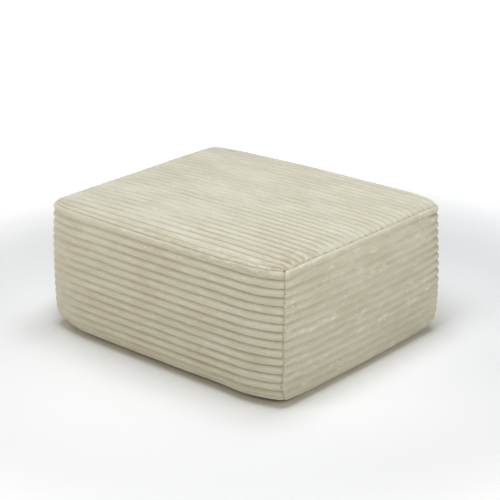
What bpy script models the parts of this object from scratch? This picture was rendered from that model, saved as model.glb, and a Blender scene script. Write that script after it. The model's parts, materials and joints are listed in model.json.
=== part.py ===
"""Ottoman in wide ribbed corduroy: a filled body and the five panels sewn over it.

Units are metres and +Z is up. The origin is on the floor under the middle of the ottoman.
The front faces -Y. Ribs run round the four walls, and along X on the top.
"""
import math

import bpy
import bmesh
from mathutils import Vector

# Overall form, measured over the crests of the ribs.
WIDTH = 0.888
DEPTH = 0.778
EDGE_HEIGHT = 0.400
CROWN = 0.008
TOP_EDGE_RADIUS = 0.021
LOW_RADIUS_FRONT = 0.066
LOW_RADIUS_SIDE = 0.040
WALL_BULGE = 0.0043
FRONT_BOW = 0.007
SIDE_BOW = 0.0073

# Plan corner: a quarter ellipse, longer along the front than along the side, and wider at the floor.
CORNER_X = 0.136
CORNER_Y = 0.052
CORNER_X_LOW = 0.028
CORNER_Y_LOW = -0.0095
CORNER_LIFT = 0.006
LIFT_START = 0.03
LIFT_REACH = 0.12

# Seams. The upright seam stands this far round the corner's ellipse, in degrees.
SEAM_TURN = 77.1
SEAM_LEVEL = -0.0045
GAP = 0.0003

# Height of the top seam on the rounded edge, in degrees above the wall: (place, degrees).
# The place is x for the front and back seams, and y for the side seams.
FRONT_SEAM = [(-0.44, 42), (-0.30, 45), (-0.12, 41), (0.05, 38), (0.20, 36), (0.33, 41), (0.44, 42)]
SIDE_SEAM = [(-0.345, 42), (-0.25, 50), (0.0, 52), (0.25, 50), (0.345, 42)]

# Ribs. Levels are measured along the skin's normal, and 0 is the crest of a rib.
WALL_RIB = 0.0075
TOP_RIB = 0.0050
INNER_LEVEL = -0.0095
WALL_PITCH = 0.0245
WALL_GROOVES = 16
FIRST_GROOVE = 0.3675
RIB_STEPS = (0.18, 0.5, 0.82)
# The first groove rises between the corners of a side: (y, developed height).
SIDE_FIRST_GROOVE = [(-0.345, 0.3675), (-0.25, 0.377), (0.25, 0.377), (0.345, 0.3675)]
# The rib under the top seam: (share of the way to the first groove, level).
FIRST_RIB = [(0.14, -0.0012), (0.45, 0.0), (0.80, -0.0020)]
# The hem lies under the drawn-in lower edge, where the developed height passes below zero.
HEM_HEIGHT = -0.010
HEM_RIB_LEVEL = -0.0030
LEDGE_LEVEL = -0.0035

# Grooves across the top from back to front, as y.
TOP_GROOVES = [
    0.3510, 0.3215, 0.2945, 0.2690, 0.2435, 0.2180, 0.1925, 0.1670, 0.1410,
    0.1150, 0.0895, 0.0640, 0.0385, 0.0130, -0.0120, -0.0365, -0.0615, -0.0870,
    -0.1130, -0.1390, -0.1655, -0.1920, -0.2190, -0.2460, -0.2735, -0.3020, -0.3325,
]
# The edge roll from the last groove to the seam, front or back: (share of the way, level).
EDGE_ROLL = [(0.25, -0.0010), (0.50, 0.0), (0.66, -0.0010), (0.78, -0.0032), (0.90, -0.0018)]
# Each rib end leans to the front where it meets the side seam, and stays between the corners.
RIB_END_LEAN = 0.010
RIB_END_START = 0.89
RIB_END_FADE = 0.12
RIB_END_CLEAR = 0.011

# Places along half a front wall: (share of the straight run, turn round the corner, pinch).
FRONT_PLACES = [
    (0.0, 0.0, 0.0), (0.52, 0.0, 0.0), (1.0, 0.0, 0.0), (1.0, 18.0, 0.0), (1.0, 36.0, 0.0),
    (1.0, 52.0, 0.0), (1.0, 65.0, 0.0), (1.0, 73.5, 0.1), (1.0, SEAM_TURN, 1.0),
]
# Places along half a side wall, the same columns, where the straight run is read from the middle.
SIDE_PLACES = [
    (0.0, 90.0, 0.0), (0.42, 90.0, 0.0), (0.76, 90.0, 0.0), (1.0, 90.0, 0.0),
    (1.0, 83.0, 0.1), (1.0, SEAM_TURN, 1.0),
]
# The same columns across the top, as shares of the way from the middle to the side seam.
TOP_SHARES = (0.0, 0.36, 0.68, 0.80, 0.88, 0.935, 0.965, 0.982, 1.0)
# Coarse heights for the smooth inner faces: shares of the top stretch, then plain heights.
TOP_STRETCH = (0.0, 0.35, 0.70, 1.0)
TOP_STRETCH_END = 0.360
PLAIN_HEIGHTS = (0.26, 0.16, 0.066, 0.047, 0.028, 0.009)

# Step for reading the slope of the top, and the distance within which seam points are one.
SLOPE_STEP = 0.0015
MERGE = 0.00005

# Colours as linear RGB with roughness. All the panels are one cloth.
CORDUROY = (0.60, 0.565, 0.44, 0.9)
BASE_CLOTH = (0.50, 0.46, 0.35, 0.95)


def mix(a, b, share):
    return a + (b - a) * share


def ease(share):
    share = min(max(share, 0.0), 1.0)
    return share * share * (3.0 - 2.0 * share)


def read_table(table, place):
    """Straight lines between the rows of a table of (place, value)."""
    if place <= table[0][0]:
        return table[0][1]
    for (x0, v0), (x1, v1) in zip(table, table[1:]):
        if place <= x1:
            return mix(v0, v1, (place - x0) / (x1 - x0))
    return table[-1][1]


def rib(share):
    """Section of one rib: 0 in the grooves, 1 on the crest."""
    return (1.0 - abs(2.0 * share - 1.0) ** 2.5) ** 0.625


def profile(run, radius):
    """Height and lean of the wall at a developed height. Lean is its normal's angle above level."""
    top = EDGE_HEIGHT - TOP_EDGE_RADIUS
    if run > top:
        angle = (run - top) / TOP_EDGE_RADIUS
        return top + TOP_EDGE_RADIUS * math.sin(angle), angle
    if run < radius:
        angle = (radius - run) / radius
        return radius - radius * math.sin(angle), -angle
    return run, 0.0


def inset(z, radius):
    """How far the wall stands in at a height, less its bulge."""
    top = EDGE_HEIGHT - TOP_EDGE_RADIUS
    drawn = 0.0
    if z > top:
        drawn = TOP_EDGE_RADIUS - math.sqrt(max(0.0, TOP_EDGE_RADIUS ** 2 - (z - top) ** 2))
    elif z < radius:
        drawn = radius - math.sqrt(radius ** 2 - (radius - z) ** 2)
    return drawn - WALL_BULGE * math.sin(math.pi * min(z / EDGE_HEIGHT, 1.0))


def outline(z):
    """Half width, half depth and corner radii of the plan at a height."""
    low = 1.0 - z / EDGE_HEIGHT
    half_x = WIDTH / 2 - inset(z, LOW_RADIUS_SIDE)
    half_y = DEPTH / 2 - inset(z, LOW_RADIUS_FRONT)
    return half_x, half_y, CORNER_X + CORNER_X_LOW * low, CORNER_Y + CORNER_Y_LOW * low


def quarter(place, z):
    """Point and outward normal in the plan for the front right quarter. Place is (run, turn)."""
    run, turn = place
    half_x, half_y, rx, ry = outline(z)
    line_x = half_x - rx
    line_y = half_y - ry
    front_in = FRONT_BOW * (line_x / half_x) ** 2
    side_in = SIDE_BOW * (line_y / half_y) ** 2
    if turn == 0.0:
        x = line_x * run
        slope = 2.0 * FRONT_BOW * x / half_x ** 2
        return Vector((x, -half_y + FRONT_BOW * (x / half_x) ** 2, 0)), Vector((slope, -1, 0)).normalized()
    if turn == 90.0:
        y = -line_y * run
        slope = 2.0 * SIDE_BOW * y / half_y ** 2
        return Vector((half_x - SIDE_BOW * (y / half_y) ** 2, y, 0)), Vector((1, slope, 0)).normalized()
    angle = math.radians(turn)
    rx -= side_in
    ry -= front_in
    point = Vector((line_x + rx * math.sin(angle), -line_y - ry * math.cos(angle), 0))
    return point, Vector((math.sin(angle) / rx, -math.cos(angle) / ry, 0)).normalized()


def skin(place, flip, run):
    """Point, outward normal and downward direction of the smooth wall.

    Place is (run, turn) in the front right quarter, and flip is the sign of x and of y.
    """
    side = ease(place[1] / SEAM_TURN)
    z_front, lean_front = profile(run, LOW_RADIUS_FRONT)
    z_side, lean_side = profile(run, LOW_RADIUS_SIDE)
    z = mix(z_front, z_side, side)
    lean = mix(lean_front, lean_side, side)
    point, out = quarter(place, z)
    corner = Vector((WIDTH / 2 - point.x, DEPTH / 2 + point.y, 0)).length
    lift = CORNER_LIFT * (1.0 - z / EDGE_HEIGHT) * (1.0 - ease((corner - LIFT_START) / LIFT_REACH))
    point.z = z + lift
    mirror = Vector((flip[0], flip[1], 1))
    point *= mirror
    out *= mirror
    normal = out * math.cos(lean) + Vector((0, 0, math.sin(lean)))
    down = out * math.sin(lean) - Vector((0, 0, math.cos(lean)))
    return point, normal, down


def seam_run(place, flip):
    """Developed height of the top seam over one place of a wall."""
    point, _ = quarter(place, EDGE_HEIGHT - TOP_EDGE_RADIUS)
    if place[1] <= SEAM_TURN:
        degrees = read_table(FRONT_SEAM, point.x * flip[0])
    else:
        degrees = read_table(SIDE_SEAM, point.y * flip[1])
    return EDGE_HEIGHT - TOP_EDGE_RADIUS + TOP_EDGE_RADIUS * math.radians(degrees)


def wall_columns(side):
    """Places along a whole wall as (place, sign along the wall, pinch)."""
    half = SIDE_PLACES if side else FRONT_PLACES
    left = [((run, turn), -1, pinch) for run, turn, pinch in reversed(half[1:])]
    right = [((run, turn), 1, pinch) for run, turn, pinch in half]
    return left + right


def flips(side, facing, along):
    """Signs of x and y of a quarter, where quarter's own y is negative."""
    if side:
        return facing, -along
    return along, -facing


def first_groove(place, flip):
    """Developed height of the first groove, which rises from the upright seams along a side."""
    if place[1] <= SEAM_TURN:
        return FIRST_GROOVE
    point, _ = quarter(place, EDGE_HEIGHT - TOP_EDGE_RADIUS)
    return read_table(SIDE_FIRST_GROOVE, point.y * flip[1])


def ribbed_rows():
    """Rows of a ribbed wall from the seam down, as (kind, share or developed height, level)."""
    rows = [("top", 0.0, SEAM_LEVEL)]
    rows += [("top", share, level) for share, level in FIRST_RIB]
    for count in range(WALL_GROOVES):
        groove = FIRST_GROOVE - count * WALL_PITCH
        rows.append(("rib", groove, -WALL_RIB))
        if count < WALL_GROOVES - 1:
            for share in RIB_STEPS:
                rows.append(("rib", groove - share * WALL_PITCH, (rib(share) - 1.0) * WALL_RIB))
    rows.append(("rib", mix(groove, HEM_HEIGHT, 0.5), HEM_RIB_LEVEL))
    rows.append(("rib", HEM_HEIGHT, SEAM_LEVEL))
    return rows


def row_height(row, place, flip):
    """Developed height of a ribbed row at one place. The first two ribs share a side's rise."""
    kind, value, _ = row
    groove = first_groove(place, flip)
    if kind == "top":
        return mix(seam_run(place, flip), groove, value)
    fade = max(0.0, 1.0 - (FIRST_GROOVE - value) / WALL_PITCH)
    return value + (groove - FIRST_GROOVE) * fade


def plain_rows(place, flip, hem):
    """Developed heights of the coarse rows at one place, ending at the hem."""
    seam = seam_run(place, flip)
    heights = [mix(seam, TOP_STRETCH_END, share) for share in TOP_STRETCH]
    return heights + list(PLAIN_HEIGHTS) + [hem]


def fill_grid(bm, rows):
    """Set a grid primitive's points to rows of points and return its vertices in rows."""
    across = len(rows[0])
    made = bmesh.ops.create_grid(bm, x_segments=across - 1, y_segments=len(rows) - 1, size=1.0)["verts"]
    grid = [made[i * across:(i + 1) * across] for i in range(len(rows))]
    for verts, points in zip(grid, rows):
        for vert, point in zip(verts, points):
            vert.co = point
    return grid


def lace(bm, long_side, short_side):
    """Close the strip between two chains of vertices with unlike counts.

    Each chain is a list of (vertex, place), and the places of both run from 0 to 1.
    """
    i = j = 0
    while i < len(long_side) - 1 or j < len(short_side) - 1:
        step_long = long_side[i + 1][1] if i < len(long_side) - 1 else 2.0
        step_short = short_side[j + 1][1] if j < len(short_side) - 1 else 2.0
        if step_long <= step_short:
            bm.faces.new((long_side[i][0], long_side[i + 1][0], short_side[j][0]))
            i += 1
        else:
            bm.faces.new((long_side[i][0], short_side[j + 1][0], short_side[j][0]))
            j += 1


def join_sheets(bm, outer, inner, outer_places, inner_places):
    """Close the four rims between a fine outer grid and a coarse inner grid."""
    even = [i / (len(outer[0]) - 1) for i in range(len(outer[0]))]
    for row in (0, -1):
        lace(bm, list(zip(outer[row], even)), list(zip(inner[row], even)))
    for column in (0, -1):
        fine = [(row[column], place) for row, place in zip(outer, outer_places)]
        coarse = [(row[column], place) for row, place in zip(inner, inner_places)]
        lace(bm, fine, coarse)


def finish(bm, name, colour):
    """Turn the finished mesh into an object of the ottoman with its own material."""
    bmesh.ops.triangulate(bm, faces=[f for f in bm.faces if len(f.verts) == 4], quad_method="FIXED")
    bmesh.ops.recalc_face_normals(bm, faces=bm.faces)
    mesh = bpy.data.meshes.new(name)
    bm.to_mesh(mesh)
    bm.free()
    material = bpy.data.materials.new(name + "_cloth")
    material.use_nodes = True
    shader = material.node_tree.nodes["Principled BSDF"]
    shader.inputs["Base Color"].default_value = (*colour[:3], 1.0)
    shader.inputs["Roughness"].default_value = colour[3]
    shader.inputs["Metallic"].default_value = 0.0
    mesh.materials.append(material)
    obj = bpy.data.objects.new(name, mesh)
    bpy.data.collections["ottoman"].objects.link(obj)
    return obj


def wall_point(column, side, facing, run, level, edge):
    """A point of a wall panel. Edge is how far it stands in from its own rims, (down, along)."""
    place, along, _ = column
    flip = flips(side, facing, along)
    point, normal, down = skin(place, flip, run)
    sideways = normal.cross(down)
    if sideways.dot(Vector((0, along, 0) if side else (along, 0, 0))) > 0:
        sideways.negate()
    return point + normal * level + down * edge[0] + sideways * edge[1]


def wall_sheet(side, facing, runs, levels):
    """Points of one sheet of a wall panel, kept half a gap from its top and upright seams.

    Runs holds the developed heights of each column. Levels holds the level of each row, which
    sinks to the seam's where a column is pinched, and with no levels the sheet is the inner one.
    """
    columns = wall_columns(side)
    last = len(columns) - 1
    sheet = []
    for r in range(len(runs[0])):
        line = []
        for c, column in enumerate(columns):
            level = mix(levels[r], SEAM_LEVEL, column[2]) if levels else INNER_LEVEL
            edge = (GAP / 2 if r == 0 else 0.0, GAP / 2 if c in (0, last) else 0.0)
            line.append(wall_point(column, side, facing, runs[c][r], level, edge))
        sheet.append(line)
    return sheet


def wall_panel(name, side, facing):
    """One wall panel, ribbed outside and smooth inside. Facing is the sign of its own axis."""
    rows = ribbed_rows()
    ribbed = []
    plain = []
    for place, along, _ in wall_columns(side):
        flip = flips(side, facing, along)
        ribbed.append([row_height(row, place, flip) for row in rows])
        plain.append(plain_rows(place, flip, HEM_HEIGHT))
    levels = [row[2] for row in rows]
    bm = bmesh.new()
    outer = fill_grid(bm, wall_sheet(side, facing, ribbed, levels))
    inner = fill_grid(bm, wall_sheet(side, facing, plain, None))
    join_sheets(bm, outer, inner, to_shares(ribbed[-1]), to_shares(plain[-1]))
    return finish(bm, name, CORDUROY)


def to_shares(heights):
    """Heights as shares of the way from the first to the last."""
    return [(heights[0] - h) / (heights[0] - heights[-1]) for h in heights]


def top_drop(x, y):
    """How far the rounded edge has fallen at a place on the top."""
    half_x, half_y, rx, ry = outline(EDGE_HEIGHT - TOP_EDGE_RADIUS)
    line_x = half_x - rx
    line_y = half_y - ry
    front_in = FRONT_BOW * (line_x / half_x) ** 2
    side_in = SIDE_BOW * (line_y / half_y) ** 2
    x = abs(x)
    y = abs(y)
    reach_y = half_y - FRONT_BOW * (x / half_x) ** 2
    if x > line_x:
        reach_y = line_y + (ry - front_in) * math.sqrt(max(0.0, 1.0 - ((x - line_x) / (rx - side_in)) ** 2))
    reach_x = half_x - SIDE_BOW * (y / half_y) ** 2
    if y > line_y:
        reach_x = line_x + (rx - side_in) * math.sqrt(max(0.0, 1.0 - ((y - line_y) / (ry - front_in)) ** 2))
    dx = max(reach_x - x, 1e-6)
    dy = max(reach_y - y, 1e-6)
    distance = min(dx * dy / math.hypot(dx, dy), TOP_EDGE_RADIUS)
    return TOP_EDGE_RADIUS - math.sqrt(TOP_EDGE_RADIUS ** 2 - (TOP_EDGE_RADIUS - distance) ** 2)


def top_height(x, y):
    """Height of the smooth top with its crown and rounded edge."""
    crown = (1.0 - (2.0 * x / WIDTH) ** 4) * (1.0 - (2.0 * y / DEPTH) ** 4)
    return EDGE_HEIGHT + CROWN * max(crown, 0.0) - top_drop(x, y)


def top_skin(x, y, level):
    """A point at a level under the smooth top."""
    across = Vector((2 * SLOPE_STEP, 0, top_height(x + SLOPE_STEP, y) - top_height(x - SLOPE_STEP, y)))
    along = Vector((0, 2 * SLOPE_STEP, top_height(x, y + SLOPE_STEP) - top_height(x, y - SLOPE_STEP)))
    return Vector((x, y, top_height(x, y))) + across.cross(along).normalized() * level


def seam_frame(side, facing, column):
    """Point, normal and downward direction on the top seam over one column of a wall."""
    flip = flips(side, facing, column[1])
    return skin(column[0], flip, seam_run(column[0], flip))


def side_seam_at(facing, y):
    """Seam frame at a y along a side, on straight lines between the wall's columns."""
    frames = [seam_frame(True, facing, column) for column in wall_columns(True)]
    frames.sort(key=lambda frame: frame[0].y)
    y = min(max(y, frames[0][0].y), frames[-1][0].y)
    for one, two in zip(frames, frames[1:]):
        if y <= two[0].y:
            share = (y - one[0].y) / (two[0].y - one[0].y)
            return [mix(a, b, share) for a, b in zip(one, two)]
    return frames[-1]


def top_rows():
    """Rows of the ribbed top from back to front, as (kind, y or share, level)."""
    rows = [("back", 0.0, SEAM_LEVEL)]
    rows += [("back", 1.0 - share, level) for share, level in reversed(EDGE_ROLL)]
    for one, two in zip(TOP_GROOVES, TOP_GROOVES[1:]):
        rows.append(("rib", one, -TOP_RIB))
        for share in RIB_STEPS:
            rows.append(("rib", mix(one, two, share), (rib(share) - 1.0) * TOP_RIB))
    rows.append(("rib", TOP_GROOVES[-1], -TOP_RIB))
    rows += [("front", share, level) for share, level in EDGE_ROLL]
    rows.append(("front", 1.0, SEAM_LEVEL))
    return rows


def row_end(y, corner_y):
    """Where a rib at y meets the side seam: it leans to the front, inside the corners."""
    lean = RIB_END_LEAN * ease((corner_y + y) / RIB_END_FADE)
    return min(max(y - lean, RIB_END_CLEAR - corner_y), corner_y - RIB_END_CLEAR)


def seam_point(frame, level, gap):
    """A point on a top seam's rim at a level, kept back from the wall's rim by a gap."""
    point, normal, down = frame
    return point + normal * level - down * gap


def whole_shares():
    """Shares of the way to the side seam for all the columns of the top, left to right."""
    return list(reversed(TOP_SHARES[1:])) + list(TOP_SHARES)


def top_grid(rows, gap):
    """Points of the ribbed top. Gap is the space that its rim keeps from the seams."""
    columns = wall_columns(False)
    shares = whole_shares()
    last = len(columns) - 1
    corner_y = seam_frame(False, 1, columns[last])[0].y
    grid = []
    for kind, place, level in rows:
        line = []
        rib_y = {"back": TOP_GROOVES[0], "front": TOP_GROOVES[-1]}.get(kind, place)
        way = {"back": 1.0 - place, "front": place}.get(kind, 0.0)
        end_y = row_end(rib_y, corner_y)
        for c, column in enumerate(columns):
            seam = seam_frame(False, 1 if kind == "back" else -1, column)
            if way == 1.0:
                line.append(seam_point(seam, SEAM_LEVEL, gap))
                continue
            if c in (0, last):
                frame = side_seam_at(column[1], mix(end_y, seam[0].y, way))
                line.append(seam_point(frame, SEAM_LEVEL, gap))
                continue
            reach = abs(side_seam_at(column[1], end_y)[0].x)
            near = max(0.0, (shares[c] - RIB_END_START) / (1.0 - RIB_END_START)) ** 1.5
            x = mix(column[1] * shares[c] * reach, seam[0].x, way)
            y = mix(mix(rib_y, end_y, near), seam[0].y, way)
            line.append(top_skin(x, y, level))
        grid.append(line)
    return grid


def plain_top(level, gap):
    """Coarse smooth points of the top at one level, on the columns of the walls."""
    columns = wall_columns(False)
    shares = whole_shares()
    corner_y = seam_frame(False, 1, columns[-1])[0].y
    frames = {}
    for sign in (-1, 1):
        frames[sign] = [seam_frame(True, sign, column) for column in wall_columns(True)]
        frames[sign].sort(key=lambda frame: -frame[0].y)
    last_row = len(frames[1]) - 1
    grid = []
    for r in range(last_row + 1):
        line = []
        for c, column in enumerate(columns):
            frame = frames[column[1]][r]
            if r in (0, last_row):
                line.append(seam_point(seam_frame(False, 1 if r == 0 else -1, column), level, gap))
            elif c in (0, len(columns) - 1):
                line.append(seam_point(frame, level, gap))
            else:
                seam_y = abs(seam_frame(False, -1, column)[0].y)
                bowed = mix(1.0, seam_y / corner_y, abs(frame[0].y) / corner_y)
                line.append(top_skin(column[1] * shares[c] * abs(frame[0].x), frame[0].y * bowed, level))
        grid.append(line)
    return grid


def top_panel():
    """The top panel with its ribs, crown and front and back edge rolls."""
    rows = top_rows()
    bm = bmesh.new()
    outer = fill_grid(bm, top_grid(rows, GAP / 2))
    inner = fill_grid(bm, plain_top(INNER_LEVEL, GAP / 2))
    fine = [row[-1].co.y for row in outer]
    coarse = [row[-1].co.y for row in inner]
    join_sheets(bm, outer, inner, to_shares(fine), to_shares(coarse))
    return finish(bm, "top_panel", CORDUROY)


def floor_point(column, side, facing):
    """Where the base cloth meets the floor under one place of a wall."""
    place, along, _ = column
    flip = flips(side, facing, along)
    plan, _ = quarter(place, 0.0)
    return Vector((plan.x * flip[0], plan.y * flip[1], 0.0))


def filled_body():
    """The filled body inside the panels, closed by the plain base cloth that it stands on.

    Past the panels' hems the base cloth comes out to a ledge, and then runs in to the floor.
    """
    level = INNER_LEVEL - GAP
    hem = HEM_HEIGHT - GAP
    flush = (0.0, 0.0)
    bm = bmesh.new()
    fill_grid(bm, plain_top(level, 0.0))
    for side in (False, True):
        columns = wall_columns(side)
        for facing in (-1, 1):
            heights = [plain_rows(place, flips(side, facing, along), hem) for place, along, _ in columns]
            points = [[wall_point(column, side, facing, run[r], level, flush)
                       for column, run in zip(columns, heights)] for r in range(len(heights[0]))]
            points.append([wall_point(column, side, facing, hem, LEDGE_LEVEL, flush) for column in columns])
            points.append([floor_point(column, side, facing) for column in columns])
            fill_grid(bm, points)
    bmesh.ops.remove_doubles(bm, verts=bm.verts, dist=MERGE)
    bmesh.ops.triangle_fill(bm, edges=[e for e in bm.edges if e.is_boundary], use_beauty=True)
    return finish(bm, "filled_body", BASE_CLOTH)


def clear_scene():
    for obj in list(bpy.data.objects):
        bpy.data.objects.remove(obj, do_unlink=True)


def main():
    clear_scene()
    collection = bpy.data.collections.new("ottoman")
    bpy.context.scene.collection.children.link(collection)
    filled_body()
    top_panel()
    wall_panel("front_panel", False, -1)
    wall_panel("back_panel", False, 1)
    wall_panel("left_side_panel", True, -1)
    wall_panel("right_side_panel", True, 1)


main()
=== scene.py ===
# %% [markdown]
# # A ribbed corduroy ottoman
# The ottoman is a firm filled body with a cover in wide ribbed corduroy. The cover is five cut
# panels, one on top and one on each side, sewn together at upright seams and round the top.
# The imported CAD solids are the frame. Each panel is made again here with finer ribs that swell,
# flatten and pinch as sewn cloth does, and it then stands for its solid.

# %% Load the frame
import json
import math

import bmesh
import bpy
import numpy as np
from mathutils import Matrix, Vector

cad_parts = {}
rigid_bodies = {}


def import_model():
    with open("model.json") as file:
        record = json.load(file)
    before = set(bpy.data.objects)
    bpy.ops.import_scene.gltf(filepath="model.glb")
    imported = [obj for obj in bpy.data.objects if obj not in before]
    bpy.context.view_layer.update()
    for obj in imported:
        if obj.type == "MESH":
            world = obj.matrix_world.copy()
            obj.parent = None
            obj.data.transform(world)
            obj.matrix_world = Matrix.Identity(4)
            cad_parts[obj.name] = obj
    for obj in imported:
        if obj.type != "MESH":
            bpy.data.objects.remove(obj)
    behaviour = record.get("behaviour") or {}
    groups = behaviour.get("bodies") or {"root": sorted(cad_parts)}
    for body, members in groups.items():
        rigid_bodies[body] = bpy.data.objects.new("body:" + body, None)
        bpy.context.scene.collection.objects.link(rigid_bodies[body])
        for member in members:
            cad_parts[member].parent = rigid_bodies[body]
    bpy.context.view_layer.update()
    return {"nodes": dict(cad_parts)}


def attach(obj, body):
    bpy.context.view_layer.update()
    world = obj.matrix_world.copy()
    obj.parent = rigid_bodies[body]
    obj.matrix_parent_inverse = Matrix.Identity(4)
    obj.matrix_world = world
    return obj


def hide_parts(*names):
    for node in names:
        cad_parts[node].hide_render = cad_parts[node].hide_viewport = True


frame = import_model()
print("solids:", sorted(frame["nodes"]))

# %% [markdown]
# ## The camera
# The camera comes first, because every later look depends on it. Its angles and distance were
# fitted to the outline and the rib lines of the real object, and its lens is long and flat.

# %% Place the camera
CAMERA_AZIMUTH = 40.69
CAMERA_ELEVATION = 20.66
CAMERA_DISTANCE = 4.5093
CAMERA_LENS = 111.1
CAMERA_TARGET = Vector((0.0175, 0.0, 0.2501))

azimuth = math.radians(CAMERA_AZIMUTH)
elevation = math.radians(CAMERA_ELEVATION)
towards = Vector((
    math.sin(azimuth) * math.cos(elevation),
    -math.cos(azimuth) * math.cos(elevation),
    math.sin(elevation),
))
camera = bpy.data.objects.new("camera", bpy.data.cameras.new("camera"))
camera.data.sensor_width = 36.0
camera.data.lens = CAMERA_LENS
camera.location = CAMERA_TARGET + towards * CAMERA_DISTANCE
camera.rotation_mode = "QUATERNION"
camera.rotation_quaternion = (-towards).to_track_quat("-Z", "Y")
bpy.context.scene.collection.objects.link(camera)
bpy.context.scene.camera = camera
print("camera at", [round(value, 3) for value in camera.location])

# %% [markdown]
# ## Sizes
# These are the sizes of the cover over the crests of its ribs, the same as the solids have.
# The edges are soft: a tight roll round the top, and a wide roll where the walls draw in below.

# %% Name the sizes
WIDTH = 0.888
DEPTH = 0.778
EDGE_HEIGHT = 0.400
CROWN = 0.008
TOP_ROLL = 0.021
LOW_ROLL_FRONT = 0.066
LOW_ROLL_SIDE = 0.040
WALL_BULGE = 0.0043
FRONT_BOW = 0.007
SIDE_BOW = 0.0073
CORNER_X = 0.136
CORNER_Y = 0.052
CORNER_X_LOW = 0.028
CORNER_Y_LOW = -0.0095
CORNER_LIFT = 0.006
LIFT_START = 0.03
LIFT_REACH = 0.12
SEAM_TURN = 77.1
STRAIGHT_TOP = EDGE_HEIGHT - TOP_ROLL
print(f"cover {WIDTH * 1000:.0f} x {DEPTH * 1000:.0f} mm, {EDGE_HEIGHT * 1000:.0f} mm at the edge")

# %% [markdown]
# ## Soft numbers
# Cloth is never even. One small noise function gives every unevenness below: it fixes random
# values on a lattice from a seed, and runs smoothly between them, so each run is the same.


# %% Helpers for smooth shapes
def mix(a, b, share):
    return a + (b - a) * share


def ease(share):
    share = np.clip(share, 0.0, 1.0)
    return share * share * (3.0 - 2.0 * share)


def wander(u, v, seed):
    """Smooth noise from -1 to 1 whose hills are about one unit apart."""
    lattice = np.random.RandomState(seed).uniform(-1.0, 1.0, (64, 64))
    u, v = np.broadcast_arrays(u, v)
    i = np.floor(u).astype(int)
    j = np.floor(v).astype(int)
    across = ease(u - i)
    near = mix(lattice[i % 64, j % 64], lattice[(i + 1) % 64, j % 64], across)
    far = mix(lattice[i % 64, (j + 1) % 64], lattice[(i + 1) % 64, (j + 1) % 64], across)
    return mix(near, far, ease(v - j))


print("noise at one place:", round(float(wander(0.3, 0.7, 5)), 4))

# %% [markdown]
# ## The smooth form under the ribs
# The plan is a rectangle whose corners are quarter ellipses, long along the front and short along
# the side. The walls roll in at the top and draw in at the floor. A place on a wall is its way
# from the middle to the upright seam and its developed height, which is measured over the skin.


# %% Plan of one quarter
def drawn_in(z, low_roll):
    """How far a wall stands in at a height."""
    over = np.clip(z - STRAIGHT_TOP, 0.0, TOP_ROLL)
    under = np.clip(low_roll - z, 0.0, low_roll)
    rolled = TOP_ROLL - np.sqrt(TOP_ROLL ** 2 - over ** 2)
    tucked = low_roll - np.sqrt(low_roll ** 2 - under ** 2)
    return rolled + tucked - WALL_BULGE * np.sin(np.pi * np.clip(z / EDGE_HEIGHT, 0.0, 1.0))


def outline(z):
    """Half width, half depth and the two corner radii at a height."""
    low = 1.0 - z / EDGE_HEIGHT
    half_x = WIDTH / 2 - drawn_in(z, LOW_ROLL_SIDE)
    half_y = DEPTH / 2 - drawn_in(z, LOW_ROLL_FRONT)
    return half_x, half_y, CORNER_X + CORNER_X_LOW * low, CORNER_Y + CORNER_Y_LOW * low


def turn_of(way, side):
    """Degrees round the corner's ellipse: way 0 to 1 is straight, 1 to 2 goes on to the seam."""
    round_it = np.clip(way - 1.0, 0.0, 1.0)
    return 90.0 - round_it * (90.0 - SEAM_TURN) if side else round_it * SEAM_TURN


def plan(way, side, z):
    """x, y and the outward normal of the front right quarter."""
    half_x, half_y, rx, ry = outline(z)
    line_x = half_x - rx
    line_y = half_y - ry
    round_x = rx - SIDE_BOW * (line_y / half_y) ** 2
    round_y = ry - FRONT_BOW * (line_x / half_x) ** 2
    angle = np.radians(turn_of(way, side))
    x = line_x + round_x * np.sin(angle)
    y = -line_y - round_y * np.cos(angle)
    out_x = np.sin(angle) / round_x
    out_y = -np.cos(angle) / round_y
    straight = way <= 1.0
    run = np.minimum(way, 1.0)
    if side:
        y = np.where(straight, -line_y * run, y)
        x = np.where(straight, half_x - SIDE_BOW * (y / half_y) ** 2, x)
        out_x = np.where(straight, 1.0, out_x)
        out_y = np.where(straight, 2.0 * SIDE_BOW * y / half_y ** 2, out_y)
    else:
        x = np.where(straight, line_x * run, x)
        y = np.where(straight, -half_y + FRONT_BOW * (x / half_x) ** 2, y)
        out_x = np.where(straight, 2.0 * FRONT_BOW * x / half_x ** 2, out_x)
        out_y = np.where(straight, -1.0, out_y)
    length = np.hypot(out_x, out_y)
    return x, y, out_x / length, out_y / length


print("plan corner at mid height:", [round(float(v), 4) for v in plan(2.0, False, 0.2)[:2]])

# %% [markdown]
# The skin adds the third dimension. The front and the sides draw in by different rolls at the
# floor, so near a corner the skin passes smoothly from one roll to the other.


# %% Skin of one quarter
def profile(run, low_roll):
    """Height and lean of a wall at a developed height."""
    over = (run - STRAIGHT_TOP) / TOP_ROLL
    under = (low_roll - run) / low_roll
    z = np.where(run > STRAIGHT_TOP, STRAIGHT_TOP + TOP_ROLL * np.sin(over), run)
    z = np.where(run < low_roll, low_roll - low_roll * np.sin(under), z)
    return z, np.maximum(over, 0.0) - np.maximum(under, 0.0)


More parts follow.
